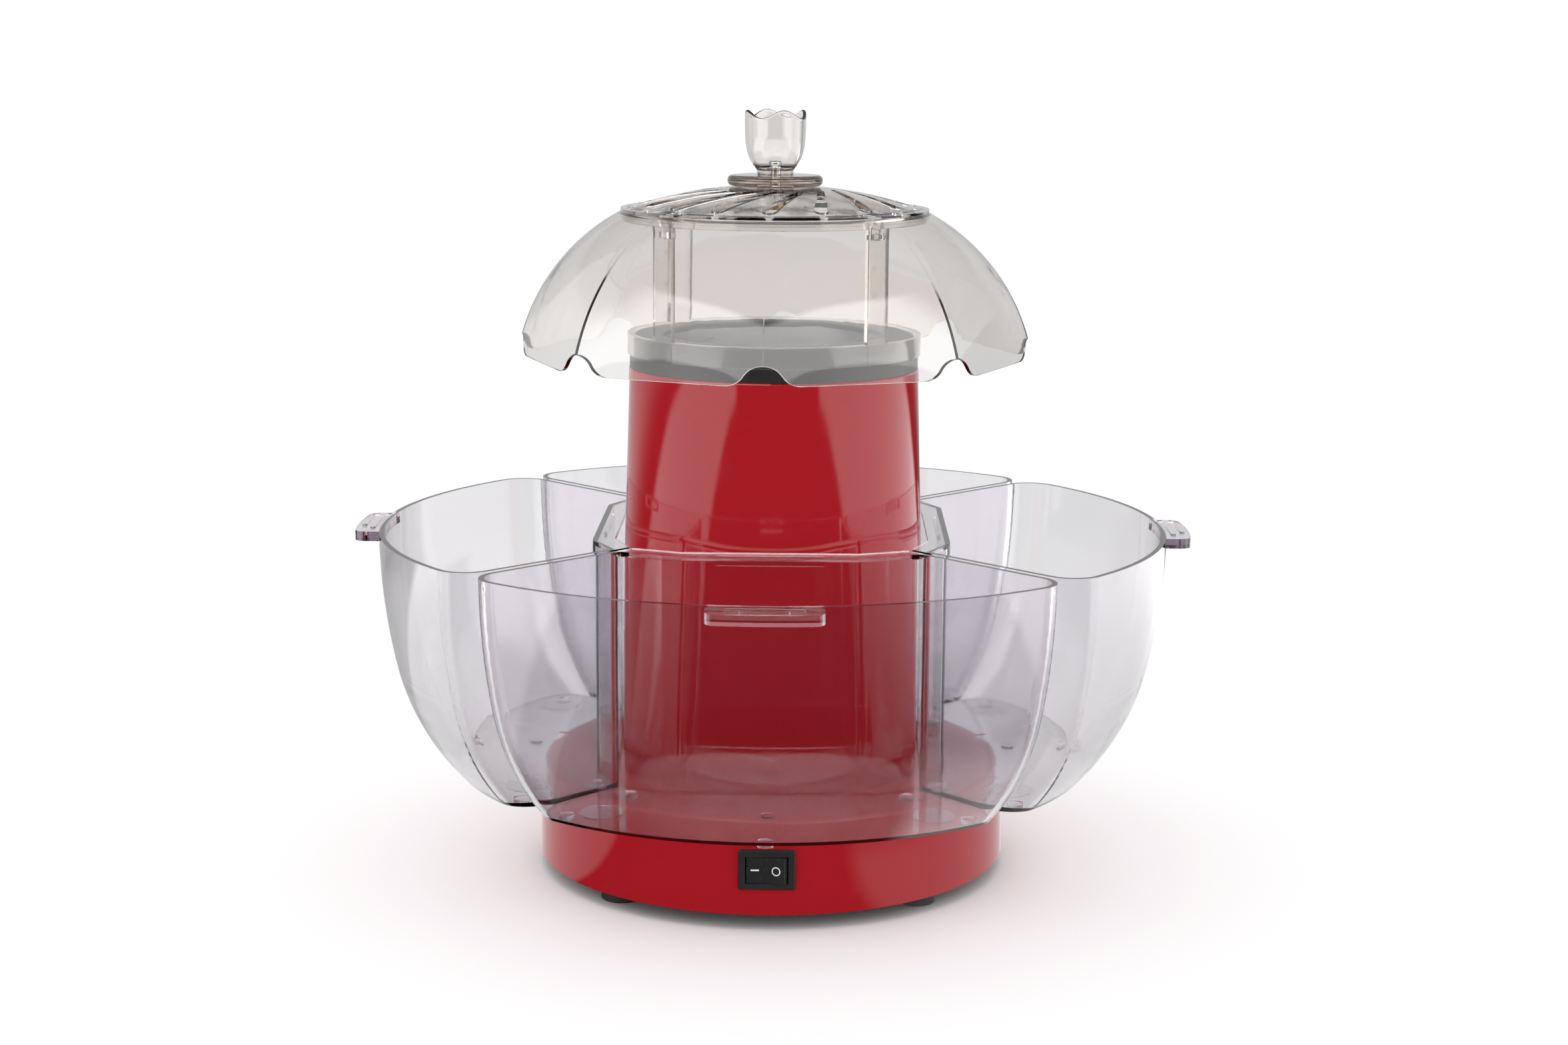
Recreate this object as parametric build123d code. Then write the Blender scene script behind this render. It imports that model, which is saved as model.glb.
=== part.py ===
from build123d import *
from math import asin, atan2, cos, degrees, radians, sin, sqrt, tan
import os

# Hot-air popcorn maker. Millimetres, +Z up, front towards -Y.
# The origin is on the axis of the machine, in the plane that the feet stand on.

# Base
BASE_RIM_Z = 6.0
BASE_R = 92.7
BASE_TOP_R = 91.7
DECK_Z = 41.5
SHELL_T = 2.4
DECK_EDGE_R = 2.0
DECK_HOLE_R = 58.0
SEAT_Z = 36.0
SEAT_HOLE_R = 44.0
PLATE_R = 90.0
PLATE_Z = 7.0
PLATE_T = 2.2
FOOT_RING_R = 79.5
FOOT_R = 7.75
FOOT_FLANGE_R = 9.6
FOOT_STEP_Z = 4.8
SCREW_R = 1.5
INLET_Z = 20.0
INLET_BODY_R = 5.5
INLET_LIP_R = 7.0

# Column and collar
COLUMN_R = 61.3
COLUMN_TOP_R = 56.3
COLUMN_TOP_Z = 199.0
BOSS_RING_R = 51.5
BOSS_R = 3.6
HOUSING_Z = 74.0
COLLAR_R = 56.0
COLLAR_STEP_Z = 204.0
COLLAR_NECK_R = 54.5
COLLAR_TOP_Z = 211.5
MOUTH_R = 42.5

# Inside the column
CHAMBER_R = 43.0
CHAMBER_FLOOR_Z = 118.0
SHIELD_R = 48.4
SHIELD_Z = 76.0
MOTOR_R = 14.0
MOTOR_Z = (20.0, 56.8)
BRACKET_Z = 57.0
FAN_Z = (61.0, 71.0)
SHAFT_R = 1.15

# Switch
SWITCH_Z = 23.5
SWITCH_SEAT_Y = -91.5
BEZEL = (21.0, 15.0)
BEZEL_T = 1.8
ROCKER_R = 7.85
ROCKER_H = 10.0
ROCKER_PIVOT_Y = SWITCH_SEAT_Y - BEZEL_T + 2.2
ROCKER_TILT = 10.0

# Lid
LID_TURN = -1.4
LID_RING_Z = (204.3, 212.2)
LID_RING_R = 56.9
LID_RING_IN_R = 54.9
LEG_W = 10.3
LEG_TOP_Z = 256.0
HOOD_T = 1.8
HOOD_TOP_R = 59.6
HOOD_TOP_Z = 258.8
HOOD_RIM_R = 100.9
HOOD_RIM_Z = 203.0
HOOD_MID = (85.0, 237.6)
HOOD_GORES = 8
NOTCH_H = 7.4
NOTCH_HALF_W = 13.8
CAP_Z = 259.0
CAP_APEX_Z = 269.0
CAP_T = 2.0
CAP_SEAT_R = 19.0
CAP_SEAT_Z = 268.5
SLOTS = 16
SLOT_SWIRL = 28.0
DISC_R = 18.4
DISC_Z = (268.6, 272.8)
CUP_Z = (272.8, 297.7)
CUP_T = 1.3

# Bowls
RIM_Z = 136.0
RIM_R = 154.0
BOWL_BEND_Z = 85.0
BOWL_UPPER_R = 230.0
BOWL_LOWER_R = 88.8
BOWL_FLOOR_Z = 43.3
BOWL_T = 2.0
BOWL_GAP = 1.1
BOWL_CORNER_R = 12.5
INNER_WALL = 66.2
INNER_FLAT = 38.9
INNER_CORNER = 57.5
INNER_BEND_R = 5.0
LEDGE = 60.0
LEDGE_FLAT = 33.0
LEDGE_CORNER = 53.0
TAB_W = 40.7
TAB_R = 163.5
TAB_Z = (131.3, 135.1)
PEG_R = 3.0
PEG_H = 1.5


def disc(radius, z_low, z_high):
    """A cylinder about the machine's axis."""
    upright = (Align.CENTER, Align.CENTER, Align.MIN)
    return Pos(0, 0, z_low) * Cylinder(radius, z_high - z_low, align=upright)


def ring(outer, inner, z_low, z_high):
    """A flat ring about the machine's axis."""
    return disc(outer, z_low, z_high) - disc(inner, z_low - 1, z_high + 1)


def turned(*points):
    """The solid that an outline of (radius, height) points sweeps about the machine's axis."""
    outline = Polyline(*[(r, 0, z) for r, z in points], close=True)
    return revolve(make_face(outline), Axis.Z)


def block(low, high):
    """A box between two corners."""
    size = [b - a for a, b in zip(low, high)]
    return Pos(*low) * Box(*size, align=(Align.MIN, Align.MIN, Align.MIN))


def post(x, y, radius, z_low, z_high):
    """An upright cylinder at x, y."""
    return Pos(x, y, 0) * disc(radius, z_low, z_high)


def turn(shape, degrees_about_z):
    return Rot(0, 0, degrees_about_z) * shape


def around(shape, count, first=0.0):
    """Copies of a shape, evenly spaced about the machine's axis."""
    return [turn(shape, first + 360 * k / count) for k in range(count)]


def polar(radius, angle):
    return radius * cos(radians(angle)), radius * sin(radians(angle))


# ---------------------------------------------------------------- base


def base_shell():
    outer = turned(
        (0, BASE_RIM_Z), (BASE_R, BASE_RIM_Z), (BASE_TOP_R, DECK_Z), (0, DECK_Z)
    )
    outer = fillet(outer.edges().group_by(Axis.Z)[-1], DECK_EDGE_R)
    under = DECK_Z - SHELL_T
    hollow = turned(
        (0, BASE_RIM_Z - 1), (BASE_R - SHELL_T, BASE_RIM_Z - 1), (BASE_TOP_R - SHELL_T, under), (0, under)
    )
    shell = outer - hollow
    shell += ring(DECK_HOLE_R + SHELL_T, SEAT_HOLE_R, SEAT_Z - SHELL_T, DECK_Z - 1)
    shell -= disc(DECK_HOLE_R, SEAT_Z, DECK_Z + 1)
    x, y = polar(FOOT_RING_R, 45)
    shell += around(post(x, y, 4.0, PLATE_Z + PLATE_T, under + 0.5), 4)
    shell -= around(post(x, y, SCREW_R, 0, 22), 4)
    x, y = polar(BOSS_RING_R, 45)
    shell -= around(post(x, y, SCREW_R + 0.2, SEAT_Z - 5, SEAT_Z + 1), 4)
    shell -= switch_opening()
    shell -= Pos(0, BASE_R, INLET_Z) * Rot(90, 0, 0) * Cylinder(INLET_BODY_R, 12)
    return shell


def switch_opening():
    """The flat seat for the bezel in the front wall and the hole for the switch's body."""
    half_w, half_h = BEZEL[0] / 2 + 0.1, BEZEL[1] / 2 + 0.1
    seat = block((-half_w, -100, SWITCH_Z - half_h), (half_w, SWITCH_SEAT_Y, SWITCH_Z + half_h))
    hole = block(
        (-half_w + 0.9, -100, SWITCH_Z - half_h + 0.9), (half_w - 0.9, -85, SWITCH_Z + half_h - 0.9)
    )
    return seat + hole


def cord_inlet():
    """The rubber gland in the rear wall that a mains lead would pass through, lipped on both sides."""
    wall = sqrt(BASE_R**2 - INLET_LIP_R**2)
    gland = Cylinder(INLET_LIP_R, 2.0) + Pos(0, 0, -4) * Cylinder(INLET_BODY_R - 0.05, 8)
    gland += Pos(0, 0, -8.2) * Cylinder(INLET_LIP_R, 3.4)
    gland -= Cylinder(3.5, 40)
    gland = Pos(0, wall + 0.9, INLET_Z) * Rot(-90, 0, 0) * gland
    inner_wall = turned(
        (0, 0), (BASE_R - SHELL_T + 0.13, 6.0), (BASE_TOP_R - SHELL_T + 0.1, DECK_Z), (0, DECK_Z)
    )
    outer_wall = turned((0, 0), (BASE_R + 0.15, 0), (BASE_TOP_R + 0.05, DECK_Z), (0, DECK_Z))
    band = outer_wall - inner_wall
    return gland - (band - Pos(0, wall, INLET_Z) * Rot(90, 0, 0) * Cylinder(INLET_BODY_R - 0.05, 30))


def base_plate():
    """Bottom cover with two rings of slots for the air and a hole for each foot screw."""
    plate = disc(PLATE_R, PLATE_Z, PLATE_Z + PLATE_T)
    slot = SlotOverall(22, 3.2)
    for radius, count in ((24, 12), (48, 20)):
        cut = Pos(radius, 0, PLATE_Z - 1) * extrude(slot, PLATE_T + 2)
        plate -= around(cut, count)
    x, y = polar(FOOT_RING_R, 45)
    plate -= around(post(x, y, SCREW_R + 0.1, 0, 20), 4)
    return plate


def foot(index):
    x, y = polar(FOOT_RING_R, 45 + 90 * index)
    shape = post(x, y, FOOT_R, 0, FOOT_STEP_Z) + post(x, y, FOOT_FLANGE_R, FOOT_STEP_Z, PLATE_Z)
    shape = fillet(shape.edges().group_by(Axis.Z)[0], 0.8)
    shape -= post(x, y, SCREW_R + 0.1, -1, 10)
    return shape - post(x, y, 3.8, -1, 2.6)


def pan_screw(length, head_r=3.2, head_h=1.7):
    """A cross-head screw that stands on its head, with the head's seat at z = 0."""
    head = Pos(0, 0, -head_h / 2) * Cylinder(head_r, head_h)
    head = fillet(head.edges().group_by(Axis.Z)[0], 0.6)
    bars = Box(3.4, 0.8, 1.6) + Box(0.8, 3.4, 1.6)
    head -= Pos(0, 0, -head_h) * bars
    return head + Pos(0, 0, length / 2) * Cylinder(SCREW_R - 0.05, length)


def base_screws():
    x, y = polar(FOOT_RING_R, 45)
    return around(Pos(x, y, 2.6) * pan_screw(17), 4)


def column_screws():
    x, y = polar(BOSS_RING_R, 45)
    return around(Pos(x, y, SEAT_Z - SHELL_T) * pan_screw(11, 3.0), 4)


# ---------------------------------------------------------------- column


def column_radius(z):
    share = (z - DECK_Z) / (COLUMN_TOP_Z - DECK_Z)
    return COLUMN_R + share * (COLUMN_TOP_R - COLUMN_R)


def column_shell():
    outer = turned((0, DECK_Z), (COLUMN_R, DECK_Z), (COLUMN_TOP_R, COLUMN_TOP_Z), (0, COLUMN_TOP_Z))
    outer = fillet(outer.edges().group_by(Axis.Z)[-1], 0.8)
    low, high = DECK_Z - 1, COLUMN_TOP_Z + 1
    hollow = turned(
        (0, low), (column_radius(low) - SHELL_T, low), (column_radius(high) - SHELL_T, high), (0, high)
    )
    spigot = ring(DECK_HOLE_R - 0.1, DECK_HOLE_R - SHELL_T, SEAT_Z, DECK_Z + 3)
    collar = ring(DECK_HOLE_R + 1.5, DECK_HOLE_R - SHELL_T, DECK_Z, DECK_Z + 3)
    shell = outer - hollow + spigot + collar
    x, y = polar(BOSS_RING_R, 45)
    web = Pos((x + y) / 2, (x + y) / 2, 0) * Rot(0, 0, 45)
    rib = web * block((0, -1, SEAT_Z), (6.0, 1, HOUSING_Z))
    boss = post(x, y, BOSS_R, SEAT_Z, HOUSING_Z) + rib
    shell += around(boss, 4)
    shell -= around(post(x, y, SCREW_R, SEAT_Z - 1, SEAT_Z + 12), 4)
    return shell - around(post(x, y, SCREW_R, HOUSING_Z - 12, HOUSING_Z + 1), 4)


def chamber_collar():
    """The black heat-proof ring between the column, the chamber and the lid."""
    band = ring(COLLAR_R, 51.2, COLUMN_TOP_Z, COLLAR_STEP_Z)
    neck = ring(COLLAR_NECK_R, 52.4, COLLAR_STEP_Z - 1, COLLAR_TOP_Z)
    top = ring(COLLAR_NECK_R, MOUTH_R, COLLAR_TOP_Z - 2, COLLAR_TOP_Z)
    inner_r = column_radius(COLUMN_TOP_Z - 5) - SHELL_T
    spigot = ring(inner_r - 0.3, 51.2, COLUMN_TOP_Z - 5, COLUMN_TOP_Z + 1)
    whole = band + neck + top + spigot
    return fillet(whole.edges().group_by(Axis.Z)[-1], 0.7)


# ---------------------------------------------------------------- air path


def popping_chamber():
    """Drawn aluminium cup with a rolled flange, and louvres that swirl the hot air."""
    wall = 0.8
    top = COLLAR_TOP_Z - 2
    cup = disc(CHAMBER_R, CHAMBER_FLOOR_Z, top)
    cup = fillet(cup.edges().group_by(Axis.Z)[0], 5)
    inside = disc(CHAMBER_R - wall, CHAMBER_FLOOR_Z + wall, top + 1)
    inside = fillet(inside.edges().group_by(Axis.Z)[0], 5 - wall)
    cup = cup - inside + ring(50.5, CHAMBER_R - wall, top - 1.0, top)
    louvre = Pos(CHAMBER_R, 0, CHAMBER_FLOOR_Z + 12) * Rot(25, 0, 0) * Box(6, 1.6, 9)
    return cup - around(louvre, 24)


def heat_shield():
    tube = ring(SHIELD_R, SHIELD_R - 0.8, SHIELD_Z, COLLAR_TOP_Z - 3.2)
    lip = ring(SHIELD_R, 43.5, SHIELD_Z, SHIELD_Z + 0.8)
    flange = ring(54.0, SHIELD_R - 0.8, SHIELD_Z, SHIELD_Z + 0.8)
    x, y = polar(BOSS_RING_R, 45)
    return tube + lip + flange - around(post(x, y, 3.4, SHIELD_Z - 1, SHIELD_Z + 2), 4)


def heater_frame():
    """Crossed mica cards on a mica ring."""
    low = SHIELD_Z + 0.8
    frame = ring(47.3, 30.0, low, low + 1.0)
    card = block((-27.2, -0.4, low + 1.0), (27.2, 0.4, low + 30))
    bridge = block((-31, -0.4, low), (31, 0.4, low + 2.5))
    cards = [turn(card + bridge, angle) for angle in (0, 90)]
    return frame + cards


def heater_coil():
    """Resistance wire wound round the mica cards."""
    radius, pitch, turns = 28.1, 5.0, 5
    start = SHIELD_Z + 5
    path = Pos(0, 0, start) * Helix(pitch, pitch * turns, radius)
    return sweep(Plane(origin=path @ 0, z_dir=path % 0) * Circle(0.6), path=path)


def fan_housing():
    """Plastic duct round the fan. Its flange lies on the column's bosses."""
    duct = ring(45.5, 43.2, BRACKET_Z + 1.2, SHIELD_Z)
    flange = ring(56.0, 43.2, HOUSING_Z, SHIELD_Z)
    lip = ring(45.5, 40.5, BRACKET_Z + 1.2, BRACKET_Z + 2.7)
    x, y = polar(BOSS_RING_R, 45)
    return duct + flange + lip - around(post(x, y, SCREW_R + 0.2, HOUSING_Z - 1, SHIELD_Z + 1), 4)


def housing_screws():
    x, y = polar(BOSS_RING_R, 45)
    return around(Pos(x, y, SHIELD_Z) * Rot(180, 0, 0) * pan_screw(11, 3.0), 4)


def motor_bracket():
    """Pressed steel spider that carries the motor under the fan."""
    spider = ring(45.5, 40.6, BRACKET_Z, BRACKET_Z + 1.2) + disc(16.5, BRACKET_Z, BRACKET_Z + 1.2)
    arm = block((10, -4, BRACKET_Z), (42, 4, BRACKET_Z + 1.2))
    spider += around(arm, 3, 30)
    spider -= disc(5.2, 0, 100)
    return spider - around(post(9.0, 0, SCREW_R + 0.1, 0, 100), 2)


def motor_can():
    low, high = MOTOR_Z
    can = disc(MOTOR_R, low, high)
    can = fillet(can.edges(), 1.5)
    can += disc(5.0, high - 0.5, high + 1.8) + disc(5.5, low - 2, low + 1)
    can -= disc(SHAFT_R + 0.05, low - 3, high + 5)
    flats = block((-20, 12.6, low + 5), (20, 20, high - 5))
    can -= [flats, turn(flats, 180)]
    return can - around(post(9.0, 0, SCREW_R, high - 5, high + 1), 2)


def motor_screws():
    seat = BRACKET_Z + 1.2
    return around(Pos(9.0, 0, seat) * Rot(180, 0, 0) * pan_screw(5, 2.6, 1.3), 2)


def motor_shaft():
    return disc(SHAFT_R, MOTOR_Z[0] - 1.5, FAN_Z[1] + 1.0)


def fan_impeller():
    """Hub with nine pitched blades, pressed on the shaft."""
    low, high = FAN_Z
    hub = disc(9.0, low, high) - disc(7.4, low - 1, high - 2)
    hub += disc(3.4, low, high)
    blade = Pos(24.0, 0, (low + high) / 2) * Rot(38, 0, 0) * Box(33, 15, 1.4)
    blade &= ring(39.0, 8.2, low, high)
    fan = hub + around(blade, 9)
    return fan - disc(SHAFT_R, low - 1, high + 5)


# ---------------------------------------------------------------- electrics


def thermostat():
    """Bimetal cut-out clamped on the outside of the heat shield."""
    body = Pos(SHIELD_R + 3.1, 0, 150) * Rot(0, 90, 0) * Cylinder(6.0, 5.6)
    tabs = [block((SHIELD_R + 1.5, s - 1.5, 155), (SHIELD_R + 2.3, s + 1.5, 163)) for s in (-3, 3)]
    return turn(body + tabs, 90)


def thermal_fuse():
    barrel = post(SHIELD_R + 2.8, 0, 2.0, 140, 152)
    leads = post(SHIELD_R + 2.8, 0, 0.4, 132, 160)
    return turn(barrel + leads, 45)


def rectifier_board():
    """Four diodes on a small board that feed the motor with direct current."""
    board = block((-16, -10, 14), (16, 10, 15.6))
    diodes = [Pos(x, 0, 17.4) * Rot(90, 0, 0) * Cylinder(1.8, 9) for x in (-12, -4, 4, 12)]
    legs = [post(x, y, 2.2, PLATE_Z + PLATE_T, 14) for x, y in ((-13, -7), (13, -7), (-13, 7), (13, 7))]
    return Pos(-34, 34, 0) * Rot(0, 0, 45) * (board + diodes + legs)


def terminal_block():
    low = PLATE_Z + PLATE_T
    body = block((-15, -6, low), (15, 6, low + 11))
    for x in (-10, 0, 10):
        body -= post(x, 0, 2.4, low + 6, low + 12)
        body -= Pos(x, 0, low + 3.4) * Rot(90, 0, 0) * Cylinder(1.7, 20)
    return Pos(34, 40, 0) * Rot(0, 0, -45) * body


def wire(*points, bend=6.0):
    path = FilletPolyline(*points, radius=bend)
    return sweep(Plane(origin=path @ 0, z_dir=path % 0) * Circle(0.9), path=path)


def wiring():
    """Leads from the switch, the terminal block and the board."""
    low = PLATE_Z + PLATE_T + 1.5
    back, front = (-69, SWITCH_Z), (-61, SWITCH_Z)
    to_board = wire((-6.0, *back), (-6.0, *front), (-7, -48, low), (-36, -18, low), (-44, 10, low))
    to_block = wire((6.4, *back), (6.4, *front), (8, -48, low), (34, -14, low), (34, 26, low))
    motor_tail = (-8, 0, MOTOR_Z[0] - 0.2)
    to_motor = wire((-20, 24, 11), (-18, 14, 11), (-8, 7, 12), (-8, 0, 14), motor_tail, bend=2.0)
    return [to_board, to_block, to_motor]


# ---------------------------------------------------------------- switch


def switch_frame():
    front = SWITCH_SEAT_Y - BEZEL_T
    bezel = block((-BEZEL[0] / 2, front, -BEZEL[1] / 2), (BEZEL[0] / 2, SWITCH_SEAT_Y, BEZEL[1] / 2))
    bezel = fillet(bezel.edges().filter_by(Axis.Y), 0.8)
    bezel = chamfer(bezel.edges().group_by(Axis.Y)[0], 0.35)
    body = block((-9.4, SWITCH_SEAT_Y - 0.5, -6.4), (9.4, -76, 6.4))
    half_w, half_h = ROCKER_R + 0.15, ROCKER_H / 2 + 0.15
    well = block((-half_w, front - 1, -half_h), (half_w, -79, half_h))
    return Pos(0, 0, SWITCH_Z) * (bezel + body - well + pivot_pins())


def pivot_pins():
    """Stub pins on the well's floor and roof that the rocker turns on."""
    pin = Cylinder(1.2, 1.4)
    reach = ROCKER_H / 2 - 0.3
    return [Pos(0, ROCKER_PIVOT_Y, z) * pin for z in (-reach, reach)]


def switch_terminals():
    blades = [block((x - 2.4, -76, -0.4), (x + 2.4, -69, 0.4)) for x in (-6.0, 0.2, 6.4)]
    return Pos(0, 0, SWITCH_Z) * (blades[0] + blades[1] + blades[2])


def place_rocker(shape):
    """Puts a shape made about the rocker's pivot in the switch, pressed in on the left."""
    return Pos(0, ROCKER_PIVOT_Y, SWITCH_Z) * Rot(0, 0, -ROCKER_TILT) * shape


def rocker():
    """The face is two flats that meet in a shallow valley over the pivot."""
    outline = Polyline((-9, -3.6), (0, -2.0), (9, -3.6), (5, 6.2), (-5, 6.2), close=True)
    key = extrude(make_face(outline), ROCKER_H / 2, both=True)
    key &= Cylinder(ROCKER_R, ROCKER_H)
    key = fillet(key.edges().filter_by(Axis.Z).group_by(Axis.Y)[0], 0.5)
    return place_rocker(key - Cylinder(1.25, ROCKER_H + 2))


def rocker_marks():
    """A bar and a ring, printed on the two flats."""
    slope = degrees(atan2(1.6, 9))
    flats = []
    for side, mark in ((-1, Rectangle(3.1, 0.55)), (1, Circle(1.7) - Circle(1.3))):
        solid = extrude(mark, 0.12)
        on_flat = Pos(side * 4.0, -2.0 - 4.0 * 1.6 / 9, 0) * Rot(0, 0, -side * slope) * Rot(90, 0, 0)
        flats.append(place_rocker(on_flat * solid))
    return flats


# ---------------------------------------------------------------- lid


def lid_frame():
    """Ring that sits on the collar, four flat legs and the ring that carries the hood."""
    low, high = LID_RING_Z
    frame = ring(LID_RING_R, LID_RING_IN_R, low, high)
    frame += ring(LID_RING_R, LID_RING_IN_R, LEG_TOP_Z - 1.5, LEG_TOP_Z + 2.5)
    frame += ring(LID_RING_R + 1.6, LID_RING_IN_R, LEG_TOP_Z - 1.5, LEG_TOP_Z - 0.2)
    leg = block((LID_RING_IN_R, -LEG_W / 2, low), (LID_RING_R, LEG_W / 2, LEG_TOP_Z - 0.5))
    window = block((LID_RING_IN_R - 1, -2.7, LEG_TOP_Z - 5.6), (LID_RING_R + 1, 2.7, LEG_TOP_Z - 3.2))
    legs = around(leg - window, 4, 45)
    return turn(frame + legs, LID_TURN)


def hood_arc(inset):
    """The line of a ridge, as an arc in the XZ plane. inset moves it inwards by the wall's thickness."""
    return ThreePointArc(
        (HOOD_TOP_R, 0, HOOD_TOP_Z - inset),
        (HOOD_MID[0] - 0.75 * inset, 0, HOOD_MID[1] - 0.65 * inset),
        (HOOD_RIM_R - inset, 0, HOOD_RIM_Z - 2),
    )


def gore_section(point, flatness):
    """One gore's slice at a point of the ridge line: a pie piece with a bowed front."""
    half = 180 / HOOD_GORES
    radius, z = point.X, point.Z
    middle = radius * (1 - flatness * (1 - cos(radians(half))))
    left, right = polar(radius, -half), polar(radius, half)
    front = ThreePointArc((*left, z), (middle, 0, z), (*right, z))
    return make_face([front, Line((*right, z), (0, 0, z)), Line((0, 0, z), (*left, z))])


def gore(inset):
    """The pie piece of the hood between two ridges, rounded above and flat below."""
    arc = hood_arc(inset)
    steps = 6
    slices = []
    for k in range(steps + 1):
        share = k / steps
        flatness = 0.05 + 0.9 * share**1.5
        slices.append(gore_section(arc @ share, flatness))
    return loft(slices)


def notch():
    """The S-curved notch in the hood's lower edge at a ridge, as a bar along +X."""
    half, top = NOTCH_HALF_W, HOOD_RIM_Z + NOTCH_H
    quarter, middle = half / 2, HOOD_RIM_Z + NOTCH_H / 2
    bend = (quarter**2 + (NOTCH_H / 2) ** 2) / NOTCH_H
    sag_x, sag_z = bend * sin(radians(15)), bend * (1 - cos(radians(15)))
    low = HOOD_RIM_Z
    rise = ThreePointArc((-half, low), (-half + sag_x, low + sag_z), (-quarter, middle))
    crest = ThreePointArc((-quarter, middle), (-sag_x, top - sag_z), (0, top))
    sides = [rise, crest, rise.mirror(Plane.YZ), crest.mirror(Plane.YZ)]
    closing = Polyline((half, low), (half, low - 9), (-half, low - 9), (-half, low))
    outline = make_face([*sides, *closing.edges()])
    return extrude(Plane.YZ * outline, 120)


def hood():
    half = 180 / HOOD_GORES
    shell = gore(0) - gore(HOOD_T)
    hood_shell = Part() + around(shell, HOOD_GORES, half)
    hood_shell -= disc(LID_RING_R + 0.3, 0, 300)
    hood_shell -= disc(120, HOOD_RIM_Z - 20, HOOD_RIM_Z)
    hood_shell -= around(notch(), HOOD_GORES)
    neck = ring(HOOD_TOP_R, LID_RING_R + 0.1, LEG_TOP_Z - 0.1, HOOD_TOP_Z)
    return turn(hood_shell + neck, LID_TURN - 90)


def cap_slot():
    """A teardrop with its wide end outwards, leaning round the axis as it goes in."""
    wide, narrow = 2.7, 1.1
    outer = Vector(*polar(49.3, 0))
    inner = Vector(*polar(23.5, SLOT_SWIRL))
    along = outer - inner
    lean = atan2(along.Y, along.X)
    flare = (wide - narrow) / along.length
    corners = []
    for side in (1, -1):
        angle = lean + side * (radians(90) - flare)
        out = Vector(cos(angle), sin(angle))
        corners.append((inner + out * narrow, outer + out * wide))
    (a, b), (d, c) = corners
    body = make_face(Polyline(a, b, c, d, close=True))
    drop = body + Pos(outer) * Circle(wide) + Pos(inner) * Circle(narrow)
    return Pos(0, 0, CAP_Z - 10) * extrude(drop, 30)


def vent_cap():
    """Shallow dome with a swirl of steam slots, and four hooks that snap into the legs."""
    rise = CAP_APEX_Z - CAP_Z
    dome_r = (HOOD_TOP_R**2 + rise**2) / (2 * rise)
    dome = Pos(0, 0, CAP_APEX_Z - dome_r) * Sphere(dome_r)
    under = Pos(0, 0, CAP_APEX_Z - dome_r - CAP_T) * Sphere(dome_r)
    cap = (dome - under) & disc(HOOD_TOP_R, CAP_Z, CAP_APEX_Z + 1)
    cap += ring(HOOD_TOP_R, HOOD_TOP_R - 3.0, CAP_Z - 0.1, CAP_Z + 1.2)
    cap -= ring(HOOD_TOP_R - 2.6, HOOD_TOP_R - 3.4, CAP_Z + 0.7, CAP_Z + 10)
    cap -= disc(CAP_SEAT_R, CAP_SEAT_Z, 300)
    cap -= around(cap_slot(), SLOTS, -90)
    cap -= disc(3.5, 0, 300)
    hook = block((52.3, -2.5, LEG_TOP_Z - 6.0), (54.4, 2.5, CAP_Z + 1.5))
    hook += block((54.0, -2.5, LEG_TOP_Z - 5.4), (56.0, 2.5, LEG_TOP_Z - 3.5))
    return turn(cap + around(hook, 4, 45), LID_TURN)


def knob_disc():
    low, high = DISC_Z
    plate = disc(DISC_R, low, high)
    plate = fillet(plate.edges(), 1.9)
    stem = disc(3.4, CAP_APEX_Z - 7, low + 1)
    neck = disc(7.05, high - 0.5, high + 1.7)
    return plate + stem + neck - disc(SCREW_R + 0.05, 0, 300)


def knob_cup():
    """Tulip-shaped clear knob with four scalloped petals."""
    low, high = CUP_Z[0] + 1.7, CUP_Z[1]
    belly = ((8.1, low + 1.5), (9.3, low + 3.5), (10.9, low + 7.5), (11.6, low + 13.5))
    points = ((7.05, low), *belly, (11.8, high))
    outer = cup_turning(points, 0, low)
    inner = cup_turning(points, CUP_T, low + 2.2)
    cup = outer - inner - disc(SCREW_R + 0.05, low - 1, high)
    dip = Pos(10, 0, high + 4.3) * Rot(0, 90, 0) * Cylinder(7.5, 20)
    return cup - around(dip, 4, -27)


def cup_turning(points, inset, floor):
    """The cup's outline turned about the axis, thinned by inset and cut off below the floor."""
    side = Spline(*[(r - inset, 0, z) for r, z in points])
    (low_r, low), (high_r, high) = points[0], points[-1]
    rest = Polyline((high_r - inset, 0, high), (0, 0, high), (0, 0, low), (low_r - inset, 0, low))
    solid = revolve(make_face([side, *rest.edges()]), Axis.Z)
    return solid & disc(20, floor, high + 1)


def knob_screw():
    seat = CUP_Z[0] + 1.7 + 2.2
    return Pos(0, 0, seat) * Rot(180, 0, 0) * pan_screw(16.5, 2.45, 1.6)


def knob_nut():
    low = CAP_APEX_Z - 9.6
    body = extrude(Pos(0, 0, low) * RegularPolygon(3.2, 6), 2.4)
    return body - disc(SCREW_R, low - 1, low + 4)


# ---------------------------------------------------------------- bowls


def bowl_arcs():
    """Centre of the outer wall's upper arc, centre of its lower arc, and the angle where they meet."""
    lean = asin((RIM_Z - BOWL_BEND_Z) / BOWL_UPPER_R)
    upper = Vector(RIM_R - BOWL_UPPER_R, RIM_Z)
    lower = upper + Vector(cos(lean), -sin(lean)) * (BOWL_UPPER_R - BOWL_LOWER_R)
    return upper, lower, lean


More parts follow.
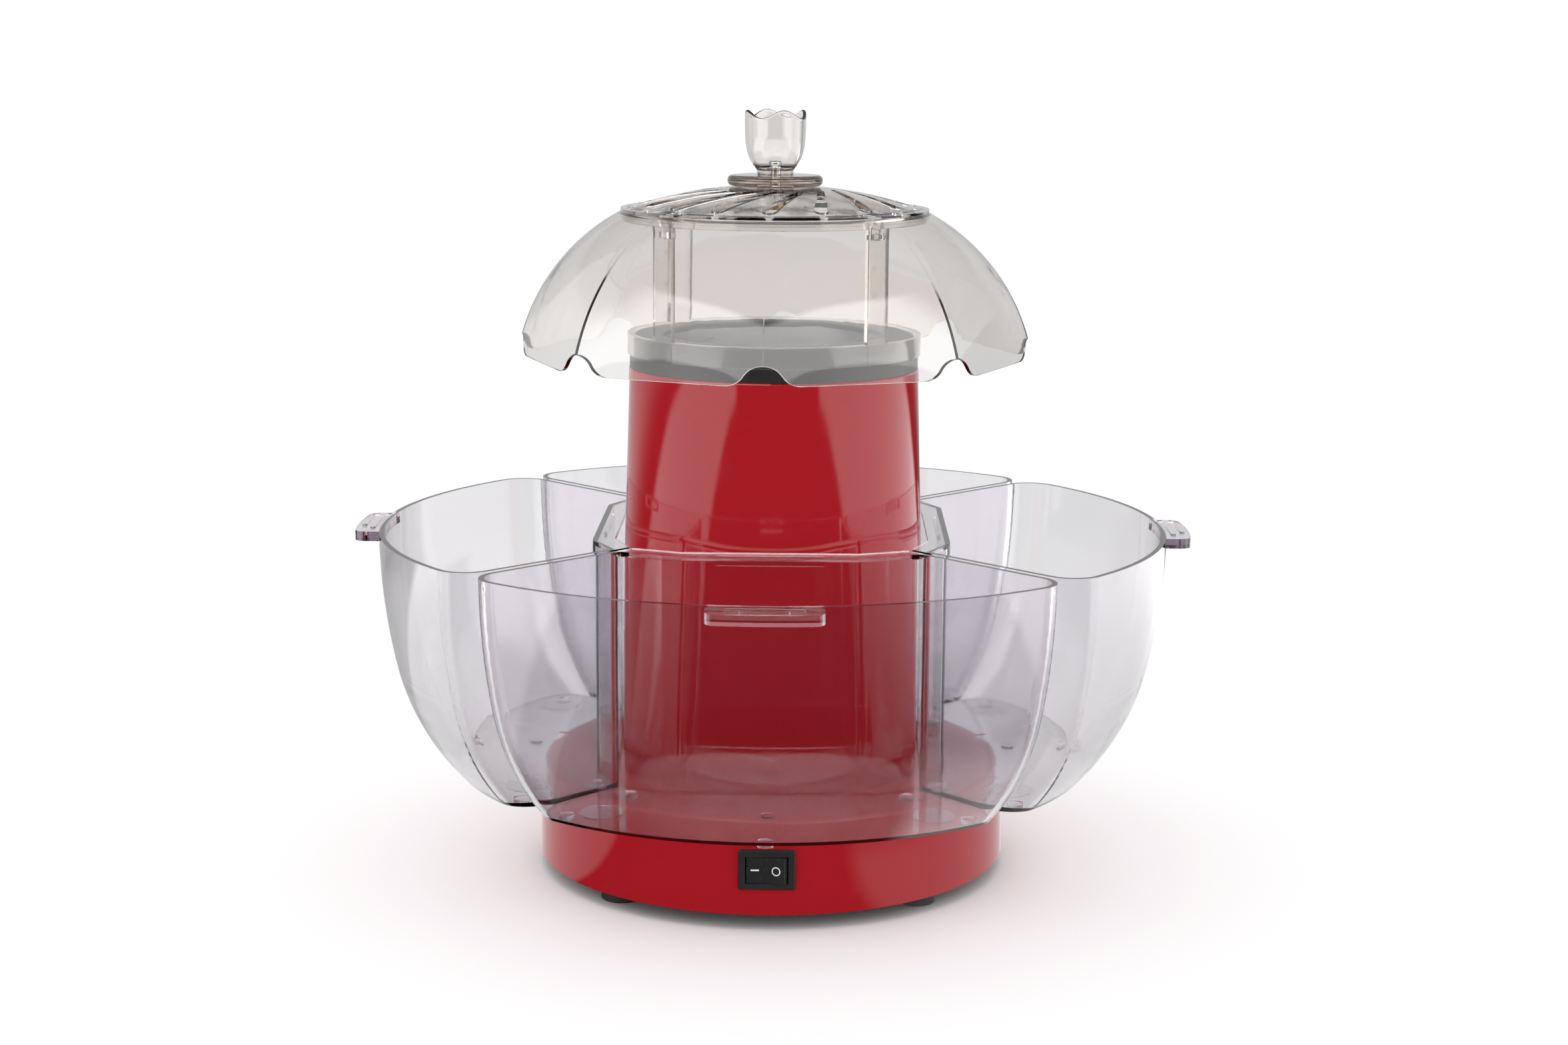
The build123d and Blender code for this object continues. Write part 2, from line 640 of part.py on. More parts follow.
def bowl_turning(inset, floor_z, top_z):
    """The bowl's outer wall turned about the machine's axis, between a floor and a top."""
    upper, lower, lean = bowl_arcs()
    turned_to = asin((lower.Y - floor_z) / (BOWL_LOWER_R - inset))
    upper_arc = CenterArc(upper, BOWL_UPPER_R - inset, 0, -degrees(lean))
    lower_arc = CenterArc(lower, BOWL_LOWER_R - inset, -degrees(lean), degrees(lean - turned_to))
    rest = Polyline(lower_arc @ 1, (0, floor_z), (0, top_z), (RIM_R - inset, top_z), upper_arc @ 0)
    return revolve(Plane.XZ * make_face([upper_arc, lower_arc, *rest.edges()]), Axis.Z)


def bowl_plan(inset):
    """Seen from above, one bowl's wedge between the diagonals, opening towards -Y."""
    side = (BOWL_GAP + inset) * sqrt(2)
    wall = INNER_WALL + inset
    corner_x = INNER_CORNER - BOWL_GAP * sqrt(2)
    slope = (INNER_WALL - INNER_CORNER) / (corner_x - INNER_FLAT)
    flat = INNER_FLAT - inset * tan(atan2(slope, 1) / 2)
    end = (wall + slope * flat - side) / (1 + slope)
    far = 180.0
    right = [(flat, -wall), (end, -end - side), (far - side, -far)]
    left = [(-x, y) for x, y in reversed(right)]
    return make_face(Polyline(*right, *left, close=True))


def bowl_solid(inset, floor_z, top_z):
    """The wedge's full shape with its upright corners rounded. Bends round the bowl's inside get sharper
    inwards and bends round the column get wider."""
    wedge = Pos(0, 0, 20) * extrude(bowl_plan(inset), 200)
    solid = wedge & bowl_turning(inset, floor_z, top_z)
    uprights = [edge for edge in solid.edges() if abs((edge @ 1).Z - (edge @ 0).Z) > 50]
    outer = [edge for edge in uprights if (edge @ 0 + edge @ 1).Y < -150]
    inner = [edge for edge in uprights if edge not in outer]
    side = [edge for edge in inner if abs((edge @ 0).X) > INNER_FLAT + 5]
    flat = [edge for edge in inner if edge not in side]
    solid = fillet(outer, BOWL_CORNER_R - inset)
    solid = fillet(matching(solid, side), INNER_BEND_R - inset)
    return fillet(matching(solid, flat), INNER_BEND_R + inset)


def matching(solid, edges):
    """The edges of a solid that lie where the given upright edges were."""
    places = [edge @ 0.5 for edge in edges]
    return [edge for edge in solid.edges() if any((edge @ 0.5 - place).length < 0.01 for place in places)]


def ledge():
    """The lip on the inner wall that closes the gap round the column."""
    corner_x = LEDGE_CORNER - BOWL_GAP * sqrt(2)
    outline = [(LEDGE_FLAT, -LEDGE), (corner_x, -LEDGE_CORNER), (corner_x + 6.5, -LEDGE_CORNER - 6.5)]
    outline += [(INNER_FLAT, -INNER_WALL - 1), (-INNER_FLAT, -INNER_WALL - 1)]
    outline += [(-corner_x - 6.5, -LEDGE_CORNER - 6.5), (-corner_x, -LEDGE_CORNER), (-LEDGE_FLAT, -LEDGE)]
    plate = Pos(0, 0, RIM_Z - 1.9) * extrude(make_face(Polyline(*outline, close=True)), 1.9)
    uprights = plate.edges().filter_by(Axis.Z)
    rounded = [edge for edge in uprights if abs((edge @ 0).Y + LEDGE_CORNER) < 1]
    plate = fillet(rounded, 1.2)
    rib = block((-20, -LEDGE - 5.2, RIM_Z - 4.0), (20, -LEDGE - 4.0, RIM_Z - 1))
    return plate + rib


def grip_tab():
    """Curved finger grip on the outer rim, with two raised bars."""
    low, high = TAB_Z
    tab = ring(TAB_R, RIM_R - 1.0, low, high)
    tab &= block((-TAB_W / 2, -200, low), (TAB_W / 2, -100, high))
    tab = fillet(tab.edges().filter_by(Axis.Z).group_by(Axis.Y)[0], 4.5)
    for width, radius in ((27.5, 156.4), (17.3, 160.4)):
        bar = Pos(0, -radius, high - 0.5) * extrude(SlotOverall(width, 1.8), 1.2)
        tab += bar
    return tab


def bowl_pegs():
    """Stub feet under the floor and the moulding mark on it."""
    low = BOWL_FLOOR_Z - PEG_H
    places = [(0, -121.5), (-73.5, -92.5), (73.5, -92.5), (-52.1, -67.2), (52.1, -67.2)]
    pegs = [post(x, y, PEG_R, low, BOWL_FLOOR_Z + 0.5) for x, y in places]
    mark = post(0, -96.0, 2.4, BOWL_FLOOR_Z + BOWL_T - 0.2, BOWL_FLOOR_Z + BOWL_T + 0.6)
    return pegs + [mark]


def bowl():
    outside = bowl_solid(0, BOWL_FLOOR_Z, RIM_Z + 8) & block((-200, -200, 0), (200, 0, RIM_Z))
    inside = bowl_solid(BOWL_T, BOWL_FLOOR_Z + BOWL_T, RIM_Z + 8)
    walls = outside - inside + ledge() + grip_tab()
    return walls + bowl_pegs()


# ---------------------------------------------------------------- parts

SINGLE_PARTS = [
    base_shell, base_plate, base_screws, column_shell, column_screws, chamber_collar, cord_inlet,
    popping_chamber, heat_shield, heater_frame, heater_coil, fan_housing, housing_screws,
    motor_bracket, motor_can, motor_screws, motor_shaft, fan_impeller, thermostat, thermal_fuse,
    rectifier_board, terminal_block, wiring, switch_frame, switch_terminals, rocker, rocker_marks,
    lid_frame, hood, vent_cap, knob_disc, knob_cup, knob_screw, knob_nut,
]
BOWL_NAMES = ("bowl_front", "bowl_right", "bowl_back", "bowl_left")
FOOT_NAMES = ("foot_back_right", "foot_back_left", "foot_front_left", "foot_front_right")


def as_one(shape):
    """A list of solids as one compound."""
    if isinstance(shape, (list, ShapeList)):
        return Compound(children=[solid for item in shape for solid in item.solids()])
    return shape


def write(name, shape):
    export_step(as_one(shape), f"parts/{name}.step")


os.makedirs("parts", exist_ok=True)
for make in SINGLE_PARTS:
    write(make.__name__, make())
for index, name in enumerate(FOOT_NAMES):
    write(name, foot(index))
front_bowl = bowl()
for index, name in enumerate(BOWL_NAMES):
    write(name, turn(front_bowl, 90 * index))
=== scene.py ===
# %% [markdown]
# # A hot-air popcorn maker
# Its CAD model is loaded as a fixed frame: each node is already in place, in metres. This script
# gives every node its finish, adds the small shapes that the CAD model leaves out, and sets up a
# studio to look at it in.

# %% Load the frame
import bpy
from math import cos, pi, radians, sin, tanh
from mathutils import Matrix, Vector


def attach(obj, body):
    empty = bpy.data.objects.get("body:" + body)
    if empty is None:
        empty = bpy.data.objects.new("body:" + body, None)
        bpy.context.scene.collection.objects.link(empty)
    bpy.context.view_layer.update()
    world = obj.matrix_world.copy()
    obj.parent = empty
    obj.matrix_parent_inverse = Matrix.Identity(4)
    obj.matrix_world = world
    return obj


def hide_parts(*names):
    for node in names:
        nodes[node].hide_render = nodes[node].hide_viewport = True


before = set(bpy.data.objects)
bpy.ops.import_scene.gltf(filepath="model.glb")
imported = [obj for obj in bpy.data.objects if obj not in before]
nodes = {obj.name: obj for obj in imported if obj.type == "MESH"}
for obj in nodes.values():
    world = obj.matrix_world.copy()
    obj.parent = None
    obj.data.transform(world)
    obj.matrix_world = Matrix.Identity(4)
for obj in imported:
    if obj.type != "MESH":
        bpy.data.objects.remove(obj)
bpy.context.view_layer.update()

# %% [markdown]
# ## Camera
# A product picture is taken from about a metre away, a little above the lid, looking slightly
# down. The lens and the distance set the perspective together. A camera could be aimed at a
# target, but a hand-held one is never quite level, so its matrix is built from three axes, with a
# small turn and a small roll.

# %% Camera
VIEW_DISTANCE = 1.0
VIEW_HEIGHT = 0.3226
VIEW_AZIMUTH = radians(0.93)
VIEW_PITCH = radians(10.55)
VIEW_TURN = radians(0.245)
VIEW_ROLL = radians(0.36)
LENS = 59.06
SENSOR_WIDTH = 36.0
NEAREST = 0.01


def camera_axes():
    """Right, up and forward of the camera."""
    forward = Vector((0, cos(VIEW_PITCH), -sin(VIEW_PITCH)))
    level_up = Vector((0, sin(VIEW_PITCH), cos(VIEW_PITCH)))
    level_right = Vector((1, 0, 0))
    up = level_up * cos(VIEW_ROLL) - level_right * sin(VIEW_ROLL)
    rolled_right = level_right * cos(VIEW_ROLL) + level_up * sin(VIEW_ROLL)
    right = rolled_right * cos(VIEW_TURN) - forward * sin(VIEW_TURN)
    turned_forward = forward * cos(VIEW_TURN) + rolled_right * sin(VIEW_TURN)
    return right, up, turned_forward


def add_camera():
    right, up, forward = camera_axes()
    axes = Matrix((right, up, -forward)).transposed().to_4x4()
    around = Matrix.Rotation(VIEW_AZIMUTH, 4, "Z")
    place = Matrix.Translation((0, -VIEW_DISTANCE, VIEW_HEIGHT))
    data = bpy.data.cameras.new("camera")
    data.lens = LENS
    data.sensor_width = SENSOR_WIDTH
    data.clip_start = NEAREST
    camera = bpy.data.objects.new("camera", data)
    camera.matrix_world = around @ place @ axes
    bpy.context.scene.collection.objects.link(camera)
    bpy.context.scene.camera = camera
    return camera


camera = add_camera()
print("camera at", [round(v, 3) for v in camera.matrix_world.translation])

# %% [markdown]
# ## Helpers for node trees
# A material, the world and a Geometry Nodes tree are all made of nodes and links. Written out in
# full they get long, so a few helpers make one node each and return its output, ready to feed the
# next.

# %% Node helpers


def link(tree, source, target):
    tree.links.new(source, target)


def put(tree, value, socket):
    """Sets a socket to a number, or links it to another socket."""
    if isinstance(value, (int, float)):
        socket.default_value = value
    else:
        link(tree, value, socket)


def maths(tree, operation, a, b=0.0):
    node = tree.nodes.new("ShaderNodeMath")
    node.operation = operation
    put(tree, a, node.inputs[0])
    put(tree, b, node.inputs[1])
    return node.outputs[0]


def minus(tree, a, b):
    return maths(tree, "SUBTRACT", a, b)


def times(tree, a, b):
    return maths(tree, "MULTIPLY", a, b)


def larger(tree, a, b):
    return maths(tree, "MAXIMUM", a, b)


def smaller(tree, a, b):
    return maths(tree, "MINIMUM", a, b)


def split_vector(tree, socket):
    node = tree.nodes.new("ShaderNodeSeparateXYZ")
    link(tree, socket, node.inputs[0])
    return node.outputs


# %% Ramps and switches


def ramp(tree, value, low, high, low_shade, high_shade):
    """Runs smoothly from one shade to another while value goes from low to high."""
    node = tree.nodes.new("ShaderNodeMapRange")
    node.interpolation_type = "SMOOTHSTEP"
    ends = (("From Min", low), ("From Max", high), ("To Min", low_shade), ("To Max", high_shade))
    for name, number in ends:
        put(tree, number, node.inputs[name])
    link(tree, value, node.inputs["Value"])
    return node.outputs["Result"]


def switch_shader(tree, condition, otherwise, chosen):
    mix = tree.nodes.new("ShaderNodeMixShader")
    link(tree, condition, mix.inputs["Fac"])
    link(tree, otherwise, mix.inputs[1])
    link(tree, chosen, mix.inputs[2])
    return mix.outputs[0]


def was_mirrored(tree, rays):
    """True for a ray that bounced off a gloss. Is Glossy Ray also holds for rays through clear walls."""
    return maths(tree, "GREATER_THAN", rays["Glossy Depth"], 0.5)


# %% [markdown]
# ## The room that gloss mirrors
# Glossy and clear plastic show the room as much as their own colour. In a studio, black cloth in
# front keeps reflections dark, lit panels at both sides draw the long highlights down the column,
# and a band of light overhead puts a white sheen on the lower half of the hood. Real panels could
# be built as glowing planes. Shades of the world are quieter: they cost no samples, throw no
# stray light and can be shaped by angle.

# %% Shades of the room
CLOTH = 0.04
PANEL = 1.9
BAND = 3.6
CEILING = 0.5
BACK_WALL = 0.7


def degrees_from_front(tree, x, y):
    """The angle round the machine, 0 in front and 180 behind, on either side."""
    angle = maths(tree, "ARCTAN2", maths(tree, "ABSOLUTE", x), times(tree, y, -1.0))
    return times(tree, angle, 180 / pi)


# %% Side panels
PANEL_INNER = 30.0
PANEL_OUTER = 92.0
INNER_SHIFT = 4.0
OUTER_SHIFT = 20.0


def side_panels(tree, x, y, inner, outer):
    """Bright between two angles from the front, on both sides, and dimmer behind. The shifts move
    the edges round on the right side and back on the left: the two panels don't stand alike."""
    degrees_off = degrees_from_front(tree, x, y)
    side = maths(tree, "SIGN", x)
    from_inner = minus(tree, minus(tree, degrees_off, inner), times(tree, side, INNER_SHIFT))
    from_outer = minus(tree, minus(tree, degrees_off, outer), times(tree, side, OUTER_SHIFT))
    rise = ramp(tree, from_inner, 0.0, 4.0, CLOTH, PANEL)
    fall = ramp(tree, from_outer, 0.0, 6.0, PANEL, CLOTH)
    back = ramp(tree, from_outer, 10.0, 40.0, CLOTH, BACK_WALL)
    return larger(tree, smaller(tree, rise, fall), back)


# %% Band and ceiling


def mirrored_room(tree):
    """The panels stand round the horizon, the band hangs above them in front, and the rest is a
    dim ceiling. Heights are the sine of the angle above the horizon."""
    coords = tree.nodes.new("ShaderNodeTexCoord")
    x, y, height = split_vector(tree, coords.outputs["Generated"])
    bottom = ramp(tree, height, 0.1, 0.16, 0.0, BAND)
    top = ramp(tree, height, 0.67, 0.73, BAND, CEILING)
    ends = ramp(tree, degrees_from_front(tree, x, y), 60.0, 88.0, BAND, CEILING)
    band = smaller(tree, smaller(tree, bottom, top), ends)
    panel_top = ramp(tree, height, 0.25, 0.45, 1.0, 0.0)
    panels = times(tree, side_panels(tree, x, y, PANEL_INNER, PANEL_OUTER), panel_top)
    return larger(tree, panels, band)


# %% [markdown]
# ## World
# The tent round the machine is white, but not every ray should see the same white. What the
# camera sees directly is pure white. What lights matt surfaces is an even glow, a little over
# white so that the floor doesn't turn grey. What is mirrored is the room above. What is seen
# through clear walls gets darker overhead, which draws the thin rims of the bowls. A Light Path
# node tells these rays apart, and no importance map is made, so each shade is exact.

# %% World
SEEN = 1.0
TENT = 1.14
THROUGH_LOW = 0.9
THROUGH_HIGH = 0.35


def glow(tree, strength):
    """A white background of one strength, or of a shade that a node gives."""
    background = tree.nodes.new("ShaderNodeBackground")
    background.inputs["Color"].default_value = (1, 1, 1, 1)
    put(tree, strength, background.inputs["Strength"])
    return background.outputs[0]


def add_world():
    world = bpy.data.worlds.new("studio")
    bpy.context.scene.world = world
    world.use_nodes = True
    world.cycles.sampling_method = "NONE"
    tree = world.node_tree
    tree.nodes.clear()
    rays = tree.nodes.new("ShaderNodeLightPath").outputs
    coords = tree.nodes.new("ShaderNodeTexCoord")
    height = split_vector(tree, coords.outputs["Generated"])["Z"]
    result = glow(tree, ramp(tree, height, 0.35, 0.7, THROUGH_LOW, THROUGH_HIGH))
    result = switch_shader(tree, was_mirrored(tree, rays), result, glow(tree, mirrored_room(tree)))
    result = switch_shader(tree, rays["Is Diffuse Ray"], result, glow(tree, TENT))
    result = switch_shader(tree, rays["Is Camera Ray"], result, glow(tree, SEEN))
    output = tree.nodes.new("ShaderNodeOutputWorld")
    link(tree, result, output.inputs["Surface"])
    return world


print("world", add_world().name)

# %% [markdown]
# ## Floor
# The machine stands on a wide white sheet that meets the tent far away, so no edge shows. A
# curved backdrop would do the same, but a flat sheet looks right from every side. The sheet isn't
# part of the object.

# %% Floor
FLOOR_HALF = 12.0


def add_floor():
    corners = [(-1, -1), (1, -1), (1, 1), (-1, 1)]
    mesh = bpy.data.meshes.new("floor")
    mesh.from_pydata([(x * FLOOR_HALF, y * FLOOR_HALF, 0) for x, y in corners], [], [(0, 1, 2, 3)])
    sheet = bpy.data.objects.new("floor", mesh)
    bpy.context.scene.collection.objects.link(sheet)
    return sheet


floor = add_floor()
print("floor is", 2 * FLOOR_HALF, "m wide")

# %% [markdown]
# ## Lamp
# An even glow from all sides leaves shapes flat. One broad lamp overhead, a little in front and
# to the left, makes tops lighter than sides and puts a soft shadow under the base. It could be
# seen as a bright patch in the plastic, so it is hidden from every ray but those that light matt
# surfaces.

# %% Lamp
LAMP_WIDTH = 1.4
LAMP_DEPTH = 1.0
LAMP_WATTS = 3.0
LAMP_PLACE = Vector((-0.3, -0.3, 1.5))
LAMP_AIM = Vector((0, 0, 0.15))


def top_lamp():
    data = bpy.data.lights.new("top_lamp", "AREA")
    data.shape = "RECTANGLE"
    data.size = LAMP_WIDTH
    data.size_y = LAMP_DEPTH
    data.energy = LAMP_WATTS
    lamp = bpy.data.objects.new("top_lamp", data)
    lamp.location = LAMP_PLACE
    lamp.rotation_euler = (LAMP_AIM - LAMP_PLACE).to_track_quat("-Z", "Y").to_euler()
    lamp.visible_camera = False
    lamp.visible_glossy = False
    lamp.visible_transmission = False
    bpy.context.scene.collection.objects.link(lamp)
    return lamp


lamp = top_lamp()
print("lamp at", [round(v, 2) for v in lamp.location])

# %% [markdown]
# ## Helpers for finishes
# Every moulded or pressed surface has a colour, a roughness and a grain. One helper makes a
# material with its shader, one adds a noise in the object's own coordinates, so that the pattern
# stays on the piece, and three use such a noise for roughness, bumps and colour.

# %% A material and a noise


def new_material(name, colour, roughness, **sockets):
    """A material with one Principled shader. Extra sockets are given by name, with _ for a space."""
    material = bpy.data.materials.new(name)
    material.use_nodes = True
    tree = material.node_tree
    shader = tree.nodes["Principled BSDF"]
    shader.inputs["Base Color"].default_value = (*colour, 1)
    shader.inputs["Roughness"].default_value = roughness
    for key, value in sockets.items():
        shader.inputs[key.replace("_", " ")].default_value = value
    return material, tree, shader


def object_coordinates(tree):
    return tree.nodes.new("ShaderNodeTexCoord").outputs["Object"]


def noise(tree, scale, detail=3.0, stretch=(1, 1, 1)):
    """A noise in metres, stretched along an axis where stretch is small."""
    mapping = tree.nodes.new("ShaderNodeMapping")
    mapping.inputs["Scale"].default_value = stretch
    texture = tree.nodes.new("ShaderNodeTexNoise")
    texture.inputs["Scale"].default_value = scale
    texture.inputs["Detail"].default_value = detail
    link(tree, object_coordinates(tree), mapping.inputs["Vector"])
    link(tree, mapping.outputs[0], texture.inputs["Vector"])
    return texture.outputs["Fac"]


# %% Uses of a noise
NOISE_LOW = 0.3
NOISE_HIGH = 0.7


def vary_roughness(tree, shader, value, low, high):
    """Maps a noise, which seldom leaves its middle, to a range of roughness."""
    node = tree.nodes.new("ShaderNodeMapRange")
    node.inputs["From Min"].default_value = NOISE_LOW
    node.inputs["From Max"].default_value = NOISE_HIGH
    node.inputs["To Min"].default_value = low
    node.inputs["To Max"].default_value = high
    link(tree, value, node.inputs["Value"])
    link(tree, node.outputs["Result"], shader.inputs["Roughness"])


def bump(tree, shader, height, distance, strength=0.3):
    node = tree.nodes.new("ShaderNodeBump")
    node.inputs["Strength"].default_value = strength
    node.inputs["Distance"].default_value = distance
    link(tree, height, node.inputs["Height"])
    link(tree, node.outputs["Normal"], shader.inputs["Normal"])


def vary_colour(tree, shader, value, dark, light):
    """Drives the base colour between two close shades."""
    mix = tree.nodes.new("ShaderNodeMix")
    mix.data_type = "RGBA"
    mix.inputs["A"].default_value = (*dark, 1)
    mix.inputs["B"].default_value = (*light, 1)
    link(tree, value, mix.inputs["Factor"])
    link(tree, mix.outputs["Result"], shader.inputs["Base Color"])


# %% [markdown]
# ## Red gloss
# The base and the column are moulded in red plastic from a polished tool, so they mirror the
# panels sharply. A paint could be a base with a coat on top. Solid plastic is one body, so one
# low roughness is right, with a slow drift in it and the faintest orange peel, which keeps the
# highlights' edges from being ruler straight.

# %% Red gloss


def red_gloss():
    material, tree, shader = new_material("red_gloss", (0.36, 0.010, 0.016), 0.05, IOR=1.5)
    vary_colour(tree, shader, noise(tree, 9, 2), (0.34, 0.009, 0.014), (0.38, 0.011, 0.018))
    vary_roughness(tree, shader, noise(tree, 60, 4), 0.03, 0.07)
    bump(tree, shader, noise(tree, 500, 2), 0.00001, 0.1)
    return material


RED = red_gloss()
print("made", RED.name)

# %% [markdown]
# ## Clear plastics
# The lid is a slightly warm clear plastic and the bowls are a cooler one. The walls have a
# thickness, so light bends at both faces, and very slight flow waves from the mould make it
# wander. The colour is in the body: it builds up with the length that a ray goes through, so the
# rims and edges look darker than the walls. A thin sheet without thickness would be quicker to
# render and would lose all of that. A path tracer's glass also shuts lamps out, so rays that only
# carry light see a clear film instead.

# %% Clear plastics
EDGE_DENSITY = 110.0


def let_light_through(material, film_colour):
    tree = material.node_tree
    result = tree.nodes["Principled BSDF"].outputs[0]
    rays = tree.nodes.new("ShaderNodeLightPath").outputs
    film = tree.nodes.new("ShaderNodeBsdfTransparent")
    film.inputs["Color"].default_value = (*film_colour, 1)
    for kind in ("Is Diffuse Ray", "Is Shadow Ray"):
        result = switch_shader(tree, rays[kind], result, film.outputs[0])
    link(tree, result, tree.nodes["Material Output"].inputs["Surface"])


def absorb(material, colour):
    """Colour that builds up with the length of plastic a ray goes through."""
    tree = material.node_tree
    volume = tree.nodes.new("ShaderNodeVolumeAbsorption")
    volume.inputs["Color"].default_value = (*colour, 1)
    volume.inputs["Density"].default_value = EDGE_DENSITY
    link(tree, volume.outputs[0], tree.nodes["Material Output"].inputs["Volume"])


def clear_plastic(name, tint, film_colour, edge_colour):
    material, tree, shader = new_material(name, tint, 0.02, Transmission_Weight=1.0, IOR=1.49)
    vary_roughness(tree, shader, noise(tree, 30, 3), 0.01, 0.05)
    bump(tree, shader, noise(tree, 35, 1), 0.0002, 0.1)
    let_light_through(material, film_colour)
    absorb(material, edge_colour)
    return material


LID_CLEAR = clear_plastic("lid_clear", (0.96, 0.955, 0.945), (0.98,) * 3, (0.76, 0.70, 0.66))
BOWL_CLEAR = clear_plastic("bowl_clear", (0.945, 0.945, 0.955), (0.99,) * 3, (0.76, 0.71, 0.75))
print("made", LID_CLEAR.name, "and", BOWL_CLEAR.name)

# %% [markdown]
# ## Blacks
# Collar, bottom cover, feet and switch are black, but not alike: the collar and the switch are
# satin, the cover is duller, rubber is matt and the rocker is polished by fingers. They share one
# recipe, a spark-eroded grain with a mottled roughness, and differ in its numbers. Pure black is
# never used, because it shows no form.

# %% Blacks


def satin_black(name, shade, roughness, grain):
    material, tree, shader = new_material(name, (shade, shade, shade * 0.95), roughness)
    vary_roughness(tree, shader, noise(tree, 300, 4), roughness - 0.04, roughness + 0.04)
    vary_colour(tree, shader, noise(tree, 20, 3), (shade * 0.85,) * 3, (shade * 1.15,) * 3)
    bump(tree, shader, noise(tree, grain * 4, 2), 0.00001, 0.2)
    return material


COLLAR_BLACK = satin_black("collar_black", 0.012, 0.38, 900)
COVER_BLACK = satin_black("cover_black", 0.03, 0.55, 700)
RUBBER = satin_black("foot_rubber", 0.02, 0.7, 500)
SWITCH_BLACK = satin_black("switch_black", 0.014, 0.42, 1200)
ROCKER_BLACK = satin_black("rocker_black", 0.02, 0.25, 1500)
print("made 5 blacks")

# %% [markdown]
# ## Metals
# The popping chamber is a drawn aluminium cup, with faint lines along its wall where the tool
# pulled it. Screws are zinc plated, the motor and the heat shield are galvanised, and the
# heater's wire is brown from heat. All are one metallic shader whose grain can be stretched into
# lines.

# %% Metals


def metal(name, colour, roughness, stretch=(1, 1, 1), scale=400, strength=0.15):
    material, tree, shader = new_material(name, colour, roughness, Metallic=1.0)
    grain = noise(tree, scale, 5, stretch)
    vary_roughness(tree, shader, grain, roughness * 0.7, roughness * 1.3)
    bump(tree, shader, grain, 0.00003, strength)
    return material


ZINC = metal("zinc_screw", (0.6, 0.6, 0.58), 0.28)
ALUMINIUM = metal("drawn_aluminium", (0.5, 0.5, 0.52), 0.38, (0.05, 0.05, 1), strength=0.05)
GALVANISED = metal("galvanised_steel", (0.5, 0.51, 0.53), 0.4, scale=120)
WIRE = metal("heater_wire", (0.28, 0.24, 0.22), 0.45)
BRASS = metal("brass", (0.72, 0.52, 0.22), 0.3)
print("made 5 metals")

# %% [markdown]
# ## What is out of sight
# Inside are mica cards, nylon, a circuit board and sleeved wires. They seldom show, and still
# need their own colour with a little mottle, because the lid and the bowls come off and the model
# may be cut open. The white ink of the switch's marks uses the same recipe.

# %% Plain mouldings


def moulded(name, colour, roughness, scale=250):
    material, tree, shader = new_material(name, colour, roughness)
    dark = tuple(c * 0.85 for c in colour)
    light = tuple(min(1, c * 1.1) for c in colour)
    vary_colour(tree, shader, noise(tree, scale / 6, 4), dark, light)
    bump(tree, shader, noise(tree, scale, 3), 0.00004, 0.2)
    return material


MICA = moulded("mica_card", (0.5, 0.42, 0.28), 0.45)
NYLON_DARK = moulded("housing_nylon", (0.05, 0.05, 0.05), 0.5)
NYLON_PALE = moulded("pale_nylon", (0.75, 0.73, 0.66), 0.4)
PHENOLIC = moulded("phenolic", (0.04, 0.035, 0.04), 0.4)
BOARD = moulded("board_green", (0.02, 0.16, 0.06), 0.3)
SLEEVE = moulded("wire_sleeve", (0.6, 0.6, 0.57), 0.6, 900)
INK = moulded("white_ink", (0.8, 0.8, 0.8), 0.5, 900)
print("made 7 plain finishes")

# %% [markdown]
# ## Dressing the nodes
# A real maker's parts list says what each part is made of. This table does the same, finish by
# finish, and the loop puts each finish on its nodes. The shapes of the nodes are never touched.

# %% Finishes of the nodes
FINISHES = {
    RED: ["base_shell", "column_shell"],
    COVER_BLACK: ["base_plate"],
    COLLAR_BLACK: ["chamber_collar"],
    RUBBER: ["cord_inlet", "foot_back_right", "foot_back_left", "foot_front_left", "foot_front_right"],
    SWITCH_BLACK: ["switch_frame"],
    ROCKER_BLACK: ["rocker"],
    INK: ["rocker_marks"],
    ZINC: ["base_screws", "column_screws", "housing_screws", "motor_screws", "motor_shaft", "knob_screw"],
    ALUMINIUM: ["popping_chamber", "thermal_fuse"],
    GALVANISED: ["heat_shield", "motor_bracket", "motor_can"],
    WIRE: ["heater_coil"],
    BRASS: ["switch_terminals", "knob_nut"],
    MICA: ["heater_frame"],
    NYLON_DARK: ["fan_housing"],
    NYLON_PALE: ["fan_impeller", "terminal_block"],
    PHENOLIC: ["thermostat"],
    BOARD: ["rectifier_board"],
    SLEEVE: ["wiring"],
    LID_CLEAR: ["lid_frame", "hood", "vent_cap", "knob_disc", "knob_cup"],
    BOWL_CLEAR: ["bowl_front", "bowl_right", "bowl_back", "bowl_left"],
}


def dress(thing, material):
    thing.data.materials.clear()
    thing.data.materials.append(material)


for material, names in FINISHES.items():
    for name in names:
        dress(nodes[name], material)
print("finishes on", sum(len(names) for names in FINISHES.values()), "nodes of", len(nodes))

# %% [markdown]
# ## Tulip knob
# The knob is a clear tulip. It could be turned on a lathe and its rim cut with four round dips,
# which leaves sharp points where the cuts meet. The moulded one has a rim that waves up and down
# without a corner, so the mesh is made column by column: each column of the wall ends at its own
# height, on a cosine that goes round four times. The rim is a half circle across the wall, so it
# catches a line of light.

